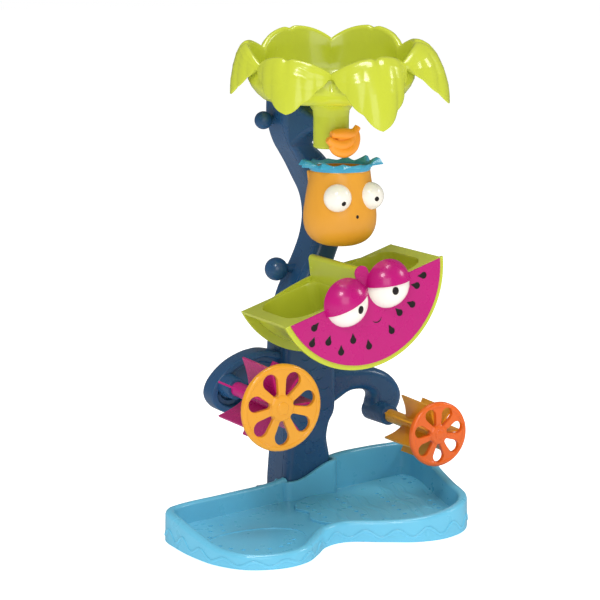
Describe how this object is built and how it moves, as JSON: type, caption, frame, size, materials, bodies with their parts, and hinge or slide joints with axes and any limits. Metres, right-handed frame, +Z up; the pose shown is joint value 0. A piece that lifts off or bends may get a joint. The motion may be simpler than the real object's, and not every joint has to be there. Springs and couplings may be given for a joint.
{
  "type": "sand and water wheel toy",
  "caption": "Palm-tree sand and water tower: a leaf bowl with a tap, a tipping pineapple cup, a rocking melon trough and paddle wheels above a tray.",
  "frame": {"origin": "on the ground under the foot of the trunk", "axes": "+Z up, +X to the right seen from the front, the front faces -Y"},
  "size_m": [0.289, 0.2045, 0.4313],
  "materials": {
    "lime_plastic": "gloss",
    "navy_plastic": "gloss",
    "sky_plastic": "gloss",
    "magenta_plastic": "gloss",
    "amber_plastic": "gloss",
    "orange_plastic": "gloss",
    "teal_plastic": "gloss",
    "white_plastic": "gloss",
    "black_plastic": "matte",
    "steel": "satin"
  },
  "bodies": {
    "tower": {"base_tray": "sky_plastic", "trunk_front_shell": "navy_plastic", "trunk_rear_shell": "navy_plastic", "trunk_screws": "steel", "foot_screws": "steel", "left_arm": "navy_plastic", "right_arm": "navy_plastic", "upper_ball_peg": "navy_plastic", "lower_ball_peg": "navy_plastic", "canopy_bracket": "navy_plastic", "leaf_canopy": "lime_plastic", "spout": "lime_plastic", "pineapple_axle": "steel", "melon_axle": "steel", "left_wheel_axle": "steel", "right_wheel_axle": "steel"},
    "tap": {"tap_plug": "orange_plastic", "banana_knob": "orange_plastic"},
    "pineapple": {"pineapple_cup": "amber_plastic", "pineapple_collar": "teal_plastic", "pineapple_left_eye": "white_plastic", "pineapple_right_eye": "white_plastic"},
    "melon": {"melon_trough": "lime_plastic", "melon_face": "magenta_plastic", "melon_seeds": "black_plastic", "melon_left_eye": "white_plastic", "melon_right_eye": "white_plastic", "melon_left_lid": "magenta_plastic", "melon_right_lid": "magenta_plastic"},
    "left_wheel": {"left_wheel_disc": "amber_plastic", "left_wheel_paddle": "magenta_plastic"},
    "right_wheel": {"right_wheel_disc": "orange_plastic", "right_wheel_paddle": "amber_plastic"}
  },
  "joints": [
    {"name": "tap_turn", "type": "hinge", "parent": "tower", "child": "tap", "pos_m": [-0.001, -0.057, 0.341], "axis": [0, 1, 0], "range_deg": [0, 90]},
    {"name": "pineapple_tip", "type": "hinge", "parent": "tower", "child": "pineapple", "pos_m": [0.008, -0.057, 0.298], "axis": [0, 1, 0], "range_deg": [-40, 10]},
    {"name": "melon_rock", "type": "hinge", "parent": "tower", "child": "melon", "pos_m": [0.0105, -0.07, 0.1836], "axis": [0, 1, 0], "range_deg": [0, 35]},
    {"name": "left_wheel_spin", "type": "hinge", "parent": "tower", "child": "left_wheel", "pos_m": [-0.078, -0.067, 0.119], "axis": [0, 1, 0], "continuous": true},
    {"name": "right_wheel_spin", "type": "hinge", "parent": "tower", "child": "right_wheel", "pos_m": [0.079, -0.067, 0.077], "axis": [0, 1, 0], "continuous": true}
  ]
}
